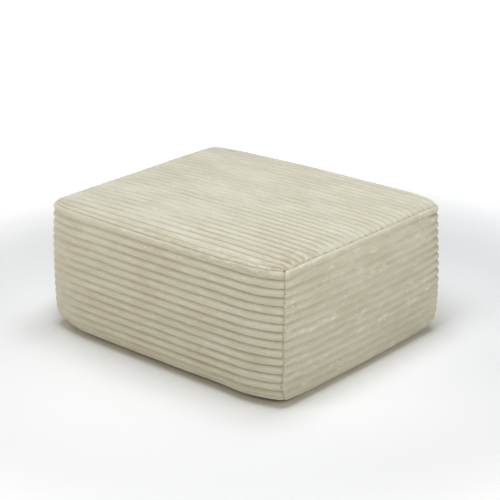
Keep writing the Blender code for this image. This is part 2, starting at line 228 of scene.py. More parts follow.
def skin(way, side, run, mirror):
    """Points, outward normals and downward directions of the smooth wall."""
    blend = ease(turn_of(way, side) / SEAM_TURN)
    z_front, lean_front = profile(run, LOW_ROLL_FRONT)
    z_side, lean_side = profile(run, LOW_ROLL_SIDE)
    z = mix(z_front, z_side, blend)
    lean = mix(lean_front, lean_side, blend)
    x, y, out_x, out_y = plan(way, side, z)
    corner = np.hypot(WIDTH / 2 - x, DEPTH / 2 + y)
    lift = CORNER_LIFT * (1.0 - z / EDGE_HEIGHT) * (1.0 - ease((corner - LIFT_START) / LIFT_REACH))
    point = np.stack([x, y, z + lift], -1) * mirror
    normal = np.stack([out_x * np.cos(lean), out_y * np.cos(lean), np.sin(lean)], -1) * mirror
    down = np.stack([out_x * np.sin(lean), out_y * np.sin(lean), -np.cos(lean)], -1) * mirror
    return point, normal, down


def mirrors(side, facing, along):
    """Signs that carry the front right quarter to one end of one wall, with a last axis of 3."""
    along = np.asarray(along, float)
    ones = np.ones_like(along)
    return np.stack([facing * ones, -along, ones] if side else [along, -facing * ones, ones], -1)


# %% [markdown]
# ## Out of square
# A sewn and filled cover is never quite square. One back corner stands a little askew, the wall
# swells beside the other, and the front rests lower by its right corner. A short list of soft
# shifts does this to every piece alike, so the seams stay closed.

# %% Soft shifts of the form
SHIFTS = [  # middle, radius of the full shift, radius where it ends, shift
    ((-0.42, 0.34, 0.30), 0.08, 0.42, (-0.0100, -0.0090, 0.0000)),
    ((0.42, 0.34, 0.14), 0.04, 0.17, (0.0026, 0.0022, 0.0000)),
    ((0.35, -0.37, 0.02), 0.03, 0.14, (0.0000, -0.0050, 0.0000)),
]


def out_of_square(points):
    moved = np.array(points)
    for middle, near, far, shift in SHIFTS:
        away = np.linalg.norm(points - np.array(middle), axis=-1)
        moved = moved + (1.0 - ease((away - near) / (far - near)))[..., None] * np.array(shift)
    return moved


print("largest shift:", max(float(np.linalg.norm(shift[3])) for shift in SHIFTS))

# %% [markdown]
# ## Rib table
# Wide corduroy is measured by its pitch, here 24.5 mm on the walls. The top is slightly
# stretched near its front and back, so its grooves are listed. A rib is fat and round, and
# the groove between two ribs is narrow.

# %% Name the ribs
WALL_RIB = 0.0075
WALL_PITCH = 0.0245
FIRST_GROOVE = 0.3675
WALL_GROOVES = 16
HEM = -0.010
SIDE_RISE = 0.0095
SIDE_RISE_ENDS = (0.345, 0.095)
TOP_RIB = 0.0050
TOP_GROOVES = np.array([
    0.3510, 0.3215, 0.2945, 0.2690, 0.2435, 0.2180, 0.1925, 0.1670, 0.1410,
    0.1150, 0.0895, 0.0640, 0.0385, 0.0130, -0.0120, -0.0365, -0.0615, -0.0870,
    -0.1130, -0.1390, -0.1655, -0.1920, -0.2190, -0.2460, -0.2735, -0.3020, -0.3325,
])
RIM_CREST = -0.0014
RIM_GROOVE = -0.0076
GAP = 0.0003
print(len(TOP_GROOVES), "grooves on top and", WALL_GROOVES, "down each wall")


def rib(share, soft=0.0):
    """Section of one rib: 0 in the grooves and 1 on the crest. A soft rib has a wide open groove."""
    firm = (1.0 - np.abs(2.0 * share - 1.0) ** 2.2) ** 0.80
    return mix(firm, 0.5 - 0.5 * np.cos(2.0 * np.pi * share), soft)


# %% [markdown]
# ## The top seam
# The top panel meets the walls on the rounded edge, a little more than half way up the roll.
# The seam wanders, and along the right side it is scalloped: each rib of the top pushes it out,
# and each groove lets it in. The panels on both sides of the seam read the same line.

# %% The line of the top seam
FRONT_SEAM = np.array([(-.44, 42), (-.30, 45), (-.12, 41), (.05, 38), (.20, 36), (.33, 41), (.44, 42)])
SIDE_SEAM = np.array([(-.345, 42), (-.25, 50), (.0, 52), (.25, 50), (.345, 42)])
CORNER_DEGREES = 42.0
SCALLOP = 0.0022
SCALLOP_MIDDLE = 0.6
SEAM_WANDER = 0.0009
SEAM_FADE = 0.03
RIB_END_LEAN = 0.010
RIB_END_FADE = 0.12
RIB_END_CLEAR = 0.011
FLAT_RIM = 0.32

corner_point = skin(2.0, False, STRAIGHT_TOP + TOP_ROLL * math.radians(CORNER_DEGREES), 1.0)[0]
SEAM_END_X = float(corner_point[0])
SEAM_END_Y = -float(corner_point[1])


def rib_end(y):
    """Where a rib of the top meets the side seam: it leans to the front, inside the corners."""
    lean = RIB_END_LEAN * ease((SEAM_END_Y + y) / RIB_END_FADE)
    return np.clip(y - lean, RIB_END_CLEAR - SEAM_END_Y, SEAM_END_Y - RIB_END_CLEAR)


GROOVE_ENDS = rib_end(TOP_GROOVES)


def top_rib_at(y):
    """How high the top's ribs stand where they meet a side seam at y."""
    places = np.interp(-y, -GROOVE_ENDS, np.arange(len(GROOVE_ENDS), dtype=float))
    inside = (y < GROOVE_ENDS[0]) & (y > GROOVE_ENDS[-1])
    return np.where(inside, rib(places % 1.0), 1.0)


def seam_run(way, side, mirror):
    """Developed height of the top seam over a place of a wall, and the level of its rim."""
    x, y, _, _ = plan(way, side, STRAIGHT_TOP)
    if side:
        place = y * mirror[..., 1]
        table = SIDE_SEAM
        end = SEAM_END_Y
        crest = top_rib_at(place)
    else:
        place = x * mirror[..., 0]
        table = FRONT_SEAM
        end = SEAM_END_X
        crest = 0.75 + 0.25 * wander(place / 0.018, 3.0 * mirror[..., 1], 21)
    fade = ease((end - np.abs(place)) / SEAM_FADE)
    run = STRAIGHT_TOP + TOP_ROLL * np.radians(np.interp(place, table[:, 0], table[:, 1]))
    shift = SEAM_WANDER * wander(place / 0.035, 5.0 * mirror[..., 0 if side else 1], 22 + side)
    if side:
        right = np.where(mirror[..., 0] > 0.0, 1.0, 0.0)
        shift = shift * 0.5 + SCALLOP * (SCALLOP_MIDDLE - crest) * right
    rim = mix(RIM_CREST, mix(RIM_GROOVE, RIM_CREST, crest), fade)
    if not side:
        flat = FLAT_RIM * (1.0 + 0.9 * wander(place / 0.12, 2.0 * mirror[..., 1], 24))
        rim = rim * mix(1.0, flat, fade)
    return run + shift * fade, rim


print("seam corner at", round(SEAM_END_X, 4), round(SEAM_END_Y, 4))

# %% [markdown]
# ## Panels as grids
# A sewn panel could be simulated as cloth, but ribs this fine need more faces than time allows.
# So each panel starts as a grid primitive. Its columns crowd together near the seams, where the
# cloth pinches, and its rows crowd into the grooves. Every point is then moved to its place on
# the skin and pushed in by the level of its rib. Solidify gives the cloth its thickness.

# %% Spacing and grid helpers
CLOTH = 0.0020
BODY_MIDDLE = Vector((0.0, 0.0, 0.2))


def spread(length, fine, coarse, growth):
    """Distances from a seam to the middle of a panel, in steps that grow."""
    steps = [0.0]
    step = fine
    while steps[-1] < length:
        steps.append(steps[-1] + step)
        step = min(step * growth, coarse)
    return np.array(steps) * length / steps[-1]


def ways_along(side, fine, coarse, growth):
    """Ways of a wall's columns from its left seam to its right one, and their distance to a seam."""
    dense = np.linspace(0.0, 2.0, 1200)
    x, y, _, _ = plan(dense, side, 0.2)
    arc = np.concatenate([[0.0], np.cumsum(np.hypot(np.diff(x), np.diff(y)))])
    off = spread(arc[-1], fine, coarse, growth)
    way = np.interp(arc[-1] - off, arc, dense)
    along = np.concatenate([-np.ones(len(off) - 1), np.ones(len(off))])
    way = np.concatenate([way[:-1], way[::-1]])
    off = np.concatenate([off[:-1], off[::-1]])
    return way, along, off, along * (arc[-1] - off)


def cloth_piece(name, points, surface, marks):
    """A panel from a grid primitive: its points, its flat cloth coordinates and its marks."""
    rows, across = points.shape[:2]
    bm = bmesh.new()
    bmesh.ops.create_grid(bm, x_segments=across - 1, y_segments=rows - 1, size=1.0)
    mesh = bpy.data.meshes.new(name)
    bm.to_mesh(mesh)
    bm.free()
    mesh.vertices.foreach_set("co", out_of_square(points).astype(np.float32).ravel())
    uv = mesh.uv_layers.new(name="cloth")
    corners = np.zeros(len(mesh.loops), np.int32)
    mesh.loops.foreach_get("vertex_index", corners)
    uv.data.foreach_set("uv", surface.reshape(-1, 2)[corners].astype(np.float32).ravel())
    for mark, value in marks.items():
        spread_out = np.broadcast_to(value, (rows, across)).astype(np.float32)
        mesh.attributes.new(mark, "FLOAT", "POINT").data.foreach_set("value", spread_out.ravel())
    mesh.shade_smooth()
    piece = bpy.data.objects.new(name, mesh)
    bpy.context.scene.collection.objects.link(piece)
    return piece


def face_out(piece):
    """Turn a panel's faces away from the middle of the body, then thicken it inwards."""
    mesh = piece.data
    face = mesh.polygons[len(mesh.polygons) // 2]
    if face.normal.dot(face.center - BODY_MIDDLE) < 0:
        mesh.flip_normals()
    shell = piece.modifiers.new("cloth", "SOLIDIFY")
    shell.thickness = CLOTH
    shell.offset = -1.0
    return piece


# %% [markdown]
# ## Wall panels
# The ribs of a wall run level round the body. In front they grow plumper and firmer from the left
# to the right seam, and on a side they are flat in the middle and plump at the ends. The cloth
# hangs slack by the far end of each wall that is seen. At a seam each rib rounds off and is
# pulled in by the sewing, and the seam line wanders a little from rib to rib.

# %% Rows and levels of a wall
RIB_ROWS = np.array([0.0, 0.03, 0.07, 0.13, 0.21, 0.31, 0.43, 0.57, 0.69, 0.79, 0.87, 0.93, 0.97])
WALL_STEPS = (0.0010, 0.0070, 1.14)
SHOULDER_POWER = 2.2
SEAM_SHOULDER = 0.007
SEAM_CREST = -0.0024
SEAM_GROOVE = -0.0076
SEAM_SWAY = 0.0015
SWAY_REACH = 0.02
GROOVE_SWAY = 0.0011
HEM_SWELL = 0.0012
FIRST_CREST = 0.45
FIRST_GROOVE_DEPTH = 1.35
# Along a wall: place, how plump its ribs are, and how soft.
FRONT_RIBS = np.array([
    (-.46, .58, .9), (-.40, .66, 1.), (-.30, .78, 1.), (-.10, .87, .95),
    (.20, .93, .8), (.36, 1.01, .5), (.46, 1., .4),
])
SIDE_RIBS = np.array([
    (-.40, .85, .6), (-.34, .62, .9), (-.25, .42, 1.), (0., .34, 1.),
    (.20, .36, 1.), (.31, .50, .9), (.345, 1., .4),
])
# Slack cloth: how much flatter its ribs are, where along the wall it starts and over what reach
# it grows, and the groove below which it starts.
FRONT_SLACK = (0.58, 0.33, 0.10, 2.0)
SIDE_SLACK = (0.70, 0.27, 0.06, 8.0)
SLACK_GROOVES = 3.0
# Marks for the material: rubbed pile, pile brushed the dark way, and a faint line of stitch holes and
# painted seam shade.
RUBBED_SIDE = 0.90
RUBBED_FRONT = 0.35
RUBBED_TOP = 0.25
BRUSHED_EDGE = 0.7
FAINT_HOLES_AND_SEAM_SHADE = 0.0028


def wall_grooves(side, way, along, mirror, inward, seed):
    """Developed heights of the seam, the grooves and the hem over each column of a wall."""
    seam, rim = seam_run(way, side, mirror)
    _, y, _, _ = plan(way, side, STRAIGHT_TOP)
    first = np.full_like(way, FIRST_GROOVE)
    if side:
        first = first + SIDE_RISE * ease((SIDE_RISE_ENDS[0] - np.abs(y)) / SIDE_RISE_ENDS[1])
    lines = [seam, first]
    lines += [np.full_like(way, FIRST_GROOVE - n * WALL_PITCH) for n in range(1, WALL_GROOVES)]
    fade = ease(inward / 0.06)
    for n in range(1, WALL_GROOVES + 1):
        lines[n] = lines[n] + GROOVE_SWAY * fade * wander(along * way / 0.35 + 40.0, 1.37 * n, seed)
    lines.append(np.full_like(way, HEM))
    return np.array(lines), rim


def wall_level(number, share, rim, plump, soft):
    """Level of the skin across one rib of a wall, below the crest."""
    if number == 0:
        rising = rim * np.clip(1.0 - share / FIRST_CREST, 0.0, 1.0) ** SHOULDER_POWER
        half = np.clip(0.5 + (share - FIRST_CREST) / (2.0 * (1.0 - FIRST_CREST)), 0.5, 1.0)
        return np.where(share < FIRST_CREST, rising, (rib(half, soft) - 1.0) * WALL_RIB * plump)
    if number == WALL_GROOVES:
        rolled = mix(-WALL_RIB, RIM_CREST, share ** 0.5) + HEM_SWELL * np.sin(np.pi * share)
        return np.full_like(plump, rolled)
    return (rib(share, soft) - 1.0) * WALL_RIB * plump


def groove_depths(side, facing, place, seed):
    """How deep each groove is, line by line down a wall, over each of its columns."""
    table = SIDE_RIBS if side else FRONT_RIBS
    groove = np.arange(WALL_GROOVES + 2.0)[:, None]
    seen = facing == (1 if side else -1)
    share, start, reach, first = SIDE_SLACK if side else FRONT_SLACK
    far_end = place if side else -place
    slack = share * ease((far_end - start) / reach) * ease((groove - first) / SLACK_GROOVES)
    deep = np.interp(place, table[:, 0], table[:, 1]) * (1.0 - slack * seen)
    deep = deep * (0.97 + 0.08 * wander(place / 0.07, groove * 1.7, seed + 1))
    if side:
        deep[1] = np.minimum(deep[1] * mix(1.0, FIRST_GROOVE_DEPTH, ease((place + 0.36) / 0.30)), 1.0)
    return deep, np.interp(place, table[:, 0], table[:, 2])


def seam_shift(side, along, inward, run, normal, down):
    """Sideways shift of a wall's points: the seam sways from rib to rib, and a gap is left in it."""
    sideways = np.cross(normal, down)
    wall_axis = np.array([0.0, 1.0, 0.0]) if side else np.array([1.0, 0.0, 0.0])
    towards_seam = sideways * np.sign((sideways * wall_axis).sum(-1) * along[None, :])[..., None]
    sway = SEAM_SWAY * wander(run / (WALL_PITCH * 0.9), 7.0, 31)
    sway = sway * (1.0 - ease(inward / SWAY_REACH))[None, :] * (-1.0 if side else 1.0)
    inside = np.where(inward == 0.0, -GAP / 2, 0.0)[None, :]
    return towards_seam * (sway + inside)[..., None]


def wall_panel(name, side, facing, seed):
    way, along, inward, place = ways_along(side, *WALL_STEPS)
    mirror = mirrors(side, facing, along)
    lines, rim = wall_grooves(side, way, along, mirror, inward, seed)
    numbers = np.append(np.repeat(np.arange(WALL_GROOVES + 1), len(RIB_ROWS)), WALL_GROOVES)
    shares = np.append(np.tile(RIB_ROWS, WALL_GROOVES + 1), 1.0)
    run = mix(lines[numbers], lines[numbers + 1], shares[:, None])
    deep, soft = groove_depths(side, facing, place, seed)
    plump = mix(deep[numbers], deep[numbers + 1], shares[:, None])
    level = np.array([wall_level(n, s, rim, p, soft) for n, s, p in zip(numbers, shares, plump)])
    depth = np.clip(-level / WALL_RIB, 0.0, 1.0)
    # The upright seam pulls each rib in and rounds its end.
    rim_level = mix(SEAM_GROOVE, SEAM_CREST, rib(shares)[:, None])
    pulled = (1.0 - np.clip(inward / SEAM_SHOULDER, 0.0, 1.0)) ** SHOULDER_POWER
    level = mix(level, np.minimum(level, rim_level), pulled[None, :])
    point, normal, down = skin(way[None, :], side, run, mirror[None])
    low = np.zeros_like(run)
    low[0] = GAP / 2
    points = point + normal * level[..., None] + down * low[..., None]
    points = points + seam_shift(side, along, inward, run, normal, down)
    surface = np.stack([np.broadcast_to(place, run.shape) + 0.13 * seed, run], -1)
    # In front and behind, the nap of the first rib lies brushed the dark way towards the right.
    first_rib = ease(1.5 - numbers - shares)[:, None]
    marks = {
        "groove": depth,
        "seam": np.minimum(inward[None, :], lines[0] - run + FAINT_HOLES_AND_SEAM_SHADE),
        "rubbed": RUBBED_SIDE if side else RUBBED_FRONT,
        "brushed": (0.0 if side else BRUSHED_EDGE) * first_rib * ease((place + 0.05) / 0.30),
    }
    return face_out(cloth_piece(name, points, surface, marks))


# %% Make the four wall panels
WALLS = [
    ("front_panel", False, -1, 41), ("back_panel", False, 1, 51),
    ("left_side_panel", True, -1, 61), ("right_side_panel", True, 1, 71),
]
panels = {}
for node, side, facing, seed in WALLS:
    panels[node] = wall_panel(node + "_cloth", side, facing, seed)
    print(node, len(panels[node].data.polygons), "faces")

# %% [markdown]
# ## Top panel
# The top has a low crown. Its ribs run straight across and have been pressed flatter in patches
# by use. Close to the side seams they lean a little to the front. They end flat at the left seam,
# and in small round bumps at the right one, plumpest by the front corner. In front and behind,
# the last rib rolls over the edge to the seam.


# %% Height of the smooth top
SLOPE_STEP = 0.0015


def top_drop(x, y):
    """How far the rounded edge has fallen at a place on the top."""
    half_x, half_y, rx, ry = outline(STRAIGHT_TOP)
    line_x = half_x - rx
    line_y = half_y - ry
    round_x = rx - SIDE_BOW * (line_y / half_y) ** 2
    round_y = ry - FRONT_BOW * (line_x / half_x) ** 2
    x = np.abs(x)
    y = np.abs(y)
    bent_y = line_y + round_y * np.sqrt(np.clip(1.0 - ((x - line_x) / round_x) ** 2, 0.0, 1.0))
    bent_x = line_x + round_x * np.sqrt(np.clip(1.0 - ((y - line_y) / round_y) ** 2, 0.0, 1.0))
    reach_y = np.where(x > line_x, bent_y, half_y - FRONT_BOW * (x / half_x) ** 2)
    reach_x = np.where(y > line_y, bent_x, half_x - SIDE_BOW * (y / half_y) ** 2)
    dx = np.maximum(reach_x - x, 1e-6)
    dy = np.maximum(reach_y - y, 1e-6)
    distance = np.minimum(dx * dy / np.hypot(dx, dy), TOP_ROLL)
    return TOP_ROLL - np.sqrt(TOP_ROLL ** 2 - (TOP_ROLL - distance) ** 2)


def top_height(x, y):
    crown = (1.0 - (2.0 * x / WIDTH) ** 4) * (1.0 - (2.0 * y / DEPTH) ** 4)
    return EDGE_HEIGHT + CROWN * np.maximum(crown, 0.0) - top_drop(x, y)


def top_skin(x, y, level):
    """Points at a level under the smooth top."""
    slope_x = (top_height(x + SLOPE_STEP, y) - top_height(x - SLOPE_STEP, y)) / (2 * SLOPE_STEP)
    slope_y = (top_height(x, y + SLOPE_STEP) - top_height(x, y - SLOPE_STEP)) / (2 * SLOPE_STEP)
    normal = np.stack([-slope_x, -slope_y, np.ones_like(slope_x)], -1)
    normal = normal / np.linalg.norm(normal, axis=-1, keepdims=True)
    return np.stack([x, y, top_height(x, y)], -1) + normal * level[..., None]


# %% [markdown]
# The walls already hold the line of the top seam. It is worked out again along each wall, so that
# the rim of the top panel can be carried onto it, with only the gap of the seam between them.


# %% The seam lines that the top panel is sewn to
def seam_line(side, facing):
    """Points, normals and downward directions along a wall's top seam, by their place along it."""
    way = np.concatenate([np.linspace(2.0, 0.0, 1500)[:-1], np.linspace(0.0, 2.0, 1500)])
    along = np.concatenate([-np.ones(1499), np.ones(1500)])
    mirror = mirrors(side, facing, along)
    run, rim = seam_run(way, side, mirror)
    point, normal, down = skin(way, side, run, mirror)
    rim_point = point + normal * rim[:, None] - down * GAP / 2
    order = np.argsort(point[:, 1 if side else 0])
    return point[order, 1 if side else 0], rim_point[order]


def read_line(line, place):
    return np.stack([np.interp(place, line[0], line[1][:, k]) for k in range(3)], -1)


SEAMS = {(side, facing): seam_line(side, facing) for side in (False, True) for facing in (-1, 1)}
print("side seam reaches x =", round(float(SEAMS[True, 1][1][:, 0].max()), 4))

# %% Rows and levels of the top
TOP_ROWS = np.array([0.0, 0.03, 0.08, 0.16, 0.28, 0.42, 0.58, 0.72, 0.84, 0.92, 0.97])
# The edge roll from the last groove to the seam: share of the way, and level.
EDGE_ROLL = np.array([
    (0, -.0052), (.04, -.0044), (.12, -.0022), (.22, -.0006), (.32, 0), (.42, -.0003), (.52, -.0016),
    (.60, -.0038), (.66, -.0050), (.72, -.0036), (.79, -.0014), (.86, -.0010), (.93, -.0020), (1, -.0034),
])
ROLL_ROWS = np.linspace(0.0, 1.0, 25)
TOP_STEPS = (0.0022, 0.016, 1.14)
TOP_SOFT = 0.35
END_START = 0.89
END_SHOULDER = 0.012
# How plump the ribs are: at the left, what is added to the right and by the front right, and how
# far patches and single ribs differ. Then the least, the most, and the ends by the side seams.
PLUMP_LEFT = 0.80
PLUMP_RIGHT = 0.20
PLUMP_NEAR = 0.32
PLUMP_PATCHES = 0.26
PLUMP_SINGLE = 0.12
PLUMP_LEAST = 0.5
PLUMP_MOST = 1.3
LEFT_ENDS = 0.35
RIGHT_ENDS = (0.85, 1.45)
GROOVE_SHADE = 1.2
SETTLE_REACH = 0.02


def top_rows():
    """Rows from back to front as three arrays: the groove before, share of the way, and kind."""
    inner = [(n, share, 0) for n in range(len(TOP_GROOVES) - 1) for share in TOP_ROWS]
    back = [(0, share, 1) for share in ROLL_ROWS[:0:-1]]
    front = [(len(TOP_GROOVES) - 1, share, -1) for share in ROLL_ROWS]
    return np.array(back + inner + front).T


def rib_plumpness(x, y, sigma, line):
    """How plump the top's ribs are: pressed flatter in patches, and set by the seams at their ends."""
    near = ease((x + 0.03) / 0.36) * ease((0.08 - y) / 0.30)
    plump = PLUMP_LEFT + PLUMP_RIGHT * ease((x + 0.25) / 0.45) + PLUMP_NEAR * near
    plump = plump + PLUMP_PATCHES * wander(x / 0.11 + 9.0, y / 0.07 + 9.0, 81)
    plump = plump + PLUMP_SINGLE * wander(x / 0.045, line[:, None] * 1.7, 82)
    right_ends = mix(*RIGHT_ENDS, ease((-0.12 - y) / 0.16))
    ends = np.where(sigma[None, :] < 0.0, LEFT_ENDS, right_ends)
    return mix(np.clip(plump, PLUMP_LEAST, PLUMP_MOST), ends, ease((np.abs(sigma)[None, :] - 0.86) / 0.12))


def top_points():
    """Places, levels and marks of the top's points, and the shares that its rims are settled by."""
    off = spread(1.0, *TOP_STEPS)
    sigma = np.concatenate([off[:-1] - 1.0, 1.0 - off[::-1]])
    number, share, kind = top_rows()
    number = number.astype(int)
    rolled = kind != 0
    way = np.where(rolled, share, 0.0)[:, None]
    after = np.minimum(number + 1, len(TOP_GROOVES) - 1)
    rib_y = np.where(rolled, TOP_GROOVES[number], mix(TOP_GROOVES[number], TOP_GROOVES[after], share))
    end_y = rib_end(rib_y)
    reach = np.abs(read_line(SEAMS[True, 1], end_y)[:, 0])[:, None]
    near = np.clip((np.abs(sigma) - END_START) / (1.0 - END_START), 0.0, 1.0) ** 1.5
    x = mix(sigma[None, :] * reach, sigma[None, :] * SEAM_END_X, way)
    y = mix(rib_y[:, None], end_y[:, None], near[None, :])
    back_y, front_y = (read_line(SEAMS[False, facing], x)[..., 1] for facing in (1, -1))
    y = mix(y, np.where(kind[:, None] == 1, back_y, front_y), way)
    ribbed = (rib(share, TOP_SOFT)[:, None] - 1.0) * TOP_RIB * rib_plumpness(x, y, sigma, number + share)
    roll = np.interp(share, EDGE_ROLL[:, 0], EDGE_ROLL[:, 1])[:, None] * np.ones_like(x)
    level = np.where(rolled[:, None], roll, ribbed)
    depth = GROOVE_SHADE * np.clip(-level / TOP_RIB, 0.0, 1.4)
    # The side seams pull the ends of the ribs in.
    inward = (1.0 - np.abs(sigma)) * SEAM_END_X
    pulled = (1.0 - np.clip(inward / END_SHOULDER, 0.0, 1.0))[None, :] ** SHOULDER_POWER
    crest = np.where(rolled, 1.0, rib(share))[:, None]
    level = mix(level, np.minimum(level, mix(RIM_GROOVE, RIM_CREST, crest)), pulled)
    return x, y, level, depth, sigma, way, kind


def settle(points, target, rim, fade):
    """Carry a rim of a grid of points onto a line, and let the points beside it follow."""
    return points + (target - rim) * fade[..., None]


def make_top():
    x, y, level, depth, sigma, way, kind = top_points()
    points = top_skin(x, y, level)
    for row, facing in ((0, 1), (-1, -1)):
        line = read_line(SEAMS[False, facing], x[row])
        fade = np.where(kind == facing, way[:, 0], 0.0)[:, None] ** 3 * np.ones_like(x)
        points = settle(points, line[None], points[row][None], fade)
    for column, facing in ((0, -1), (-1, 1)):
        place = np.clip(points[:, column, 1], -SEAM_END_Y, SEAM_END_Y)
        line = read_line(SEAMS[True, facing], place)
        to_seam = (1.0 - facing * sigma) * SEAM_END_X
        fade = np.clip(1.0 - to_seam / SETTLE_REACH, 0.0, 1.0)[None, :] ** 2 * np.ones_like(x)
        points = settle(points, line[:, None], points[:, column][:, None], fade)
    # The nap lies brushed the dark way by the front corner and in blots along the front edge.
    corner = ease((x - 0.28) / 0.14) * ease((-0.06 - y) / 0.24)
    front_roll = np.where(kind == -1, 1.0, 0.0)[:, None]
    inward = (1.0 - np.abs(sigma))[None, :] * SEAM_END_X
    marks = {
        "groove": depth,
        "seam": np.minimum(inward, (1.0 - way) * 0.03 + FAINT_HOLES_AND_SEAM_SHADE),
        "rubbed": RUBBED_TOP,
        "brushed": np.maximum(corner, BRUSHED_EDGE * ease((x + 0.30) / 0.30) * front_roll * way),
    }
    return face_out(cloth_piece("top_panel_cloth", points, np.stack([x, y + 2.0], -1), marks))


panels["top_panel"] = make_top()
print("top_panel", len(panels["top_panel"].data.polygons), "faces")

# %% [markdown]
# ## Filled body
# Inside the cover is a foam filling closed in plain base cloth, which shows only underneath. It is
# made as padding is: its solid is remeshed in even faces and set in a little, then blown up as
# cloth under pressure. The underside is held, so it stays flat where it rests. The pressure would
# swell it further than a cover lets it, so how far a point may move is capped.

# %% Blow up the filled body
PAD_VOXEL = 0.012
PAD_INSET = 0.0045
PAD_SWELL = 0.0040
PAD_PRESSURE = 4.0
PAD_FRAMES = 20
REST_HEIGHT = 0.004


def applied(piece):
    """The mesh of a piece with its modifiers worked in."""
    bpy.context.view_layer.update()
    return bpy.data.meshes.new_from_object(piece.evaluated_get(bpy.context.evaluated_depsgraph_get()))


def read_points(mesh, kind="co"):
    points = np.zeros(len(mesh.vertices) * 3)
    mesh.vertices.foreach_get(kind, points)
    return points.reshape(-1, 3)


def even_copy(node, name):
    """A merged copy of a solid, remeshed in even faces."""
    mesh = frame["nodes"][node].data.copy()
    mesh.materials.clear()
    bm = bmesh.new()
    bm.from_mesh(mesh)
    bmesh.ops.remove_doubles(bm, verts=bm.verts, dist=1e-5)
    bm.to_mesh(mesh)
    bm.free()
    piece = bpy.data.objects.new(name, mesh)
    bpy.context.scene.collection.objects.link(piece)
    even = piece.modifiers.new("even", "REMESH")
    even.mode = "VOXEL"
    even.voxel_size = PAD_VOXEL
    even.use_smooth_shade = True
    piece.data = applied(piece)
    piece.modifiers.clear()
    return piece


def blow_up(piece, start, held):
    """Points of a piece after cloth under pressure, none further than the cap from its start."""
    group = piece.vertex_groups.new(name="held")
    group.add(np.flatnonzero(held).tolist(), 1.0, "REPLACE")
    cloth = piece.modifiers.new("swell", "CLOTH")
    cloth.settings.use_pressure = True
    cloth.settings.uniform_pressure_force = PAD_PRESSURE
    cloth.settings.vertex_group_mass = "held"
    cloth.settings.effector_weights.gravity = 0.0
    cloth.point_cache.frame_end = PAD_FRAMES
    scene = bpy.context.scene
    for number in range(1, PAD_FRAMES + 1):
        scene.frame_set(number)
    blown = read_points(applied(piece))
    piece.modifiers.clear()
    piece.vertex_groups.clear()
    scene.frame_set(1)
    moved = blown - start
    far = np.linalg.norm(moved, axis=1, keepdims=True)
    return start + moved * np.minimum(1.0, PAD_SWELL / np.maximum(far, 1e-9)), float(far.mean())


def make_body():
    piece = even_copy("filled_body", "filled_body_cloth")
    points = read_points(piece.data)
    underside = points[:, 2] < REST_HEIGHT
    start = points - PAD_INSET * read_points(piece.data, "normal")
    start[underside, 2] = 0.0
    piece.data.vertices.foreach_set("co", start.ravel())
    moved = 0.0
    start, moved = blow_up(piece, start, underside)
    start[:, 2] = np.maximum(start[:, 2], 0.0)
    piece.data.vertices.foreach_set("co", out_of_square(start).ravel())
    piece.data.shade_smooth()
    finer = piece.modifiers.new("finer", "SUBSURF")
    finer.levels = finer.render_levels = 1
    print("filled body:", len(piece.data.polygons), "faces")
    print("blown up by", round(moved * 1000, 2), "mm before the cap")
    return piece


filled_body = make_body()

# %% [markdown]
# ## Shader helpers
# A small class wraps a socket, so that masks and mixes read as plain sums. Any other node comes
# from one method that sets the node first and its sockets after.


# %% Shader helpers
class Val:
    """A socket that can be added, subtracted and multiplied, and turned into a mask by a ramp."""

    def __init__(self, paint, socket):
        self.paint = paint
        self.socket = socket

    def math(self, operation, *others):
        inputs = [self, *others]
        return self.paint.node("ShaderNodeMath", {"operation": operation}, dict(enumerate(inputs)))

    def __add__(self, other):
        return self.math("ADD", other)

    def __mul__(self, other):
        return self.math("MULTIPLY", other)

    def __sub__(self, other):
        return self.math("SUBTRACT", other)

    def __rsub__(self, other):
        return self.paint.node("ShaderNodeMath", {"operation": "SUBTRACT"}, {0: other, 1: self})

    __radd__ = __add__
    __rmul__ = __mul__

    def ramp(self, low, high):
        """0 below low, 1 above high, and smooth between."""
        settings = {"interpolation_type": "SMOOTHSTEP"}
        return self.paint.node("ShaderNodeMapRange", settings, {0: self, 1: low, 2: high})


class Paint:
    """One material and the nodes that it is made of."""

    def __init__(self, name):
        self.material = bpy.data.materials.new(name)
        self.material.use_nodes = True
        self.tree = self.material.node_tree
        self.shader = self.tree.nodes["Principled BSDF"]

    def put(self, socket, value):
        if isinstance(value, Val):
            self.tree.links.new(value.socket, socket)
        else:
            socket.default_value = value

    def node(self, kind, settings=None, sockets=None, output=0):
        made = self.tree.nodes.new(kind)
        for name, value in (settings or {}).items():
            setattr(made, name, value)
        for name, value in (sockets or {}).items():
            self.put(made.inputs[name], value)
        return Val(self, made.outputs[output])

    def mark(self, name):
        """A number that a panel's points carry."""
        return self.node("ShaderNodeAttribute", {"attribute_name": name}, {}, 2)

    def mix_colour(self, share, first, second):
        sockets = {0: share, 6: first, 7: second}
        return self.node("ShaderNodeMix", {"data_type": "RGBA"}, sockets, 2)

    def noise(self, place, scale, detail=2.0, stretch=None):
        if stretch:
            place = self.node("ShaderNodeMapping", {}, {"Vector": place, "Scale": stretch})
        sockets = {"Vector": place, "Scale": scale, "Detail": detail}
        return self.node("ShaderNodeTexNoise", {}, sockets)

    def dabs(self, place, scale, stretch, low, high):
        """Rounded dabs, one in each cell: 1 within the distance low of its middle, 0 beyond high."""
        place = self.node("ShaderNodeMapping", {}, {"Vector": place, "Scale": stretch})
        distance = self.node("ShaderNodeTexVoronoi", {}, {"Vector": place, "Scale": scale})
        return 1.0 - distance.ramp(low, high)

    def finish(self, **sockets):
        for name, value in sockets.items():
            self.put(self.shader.inputs[name.replace("_", " ")], value)
        return self.material
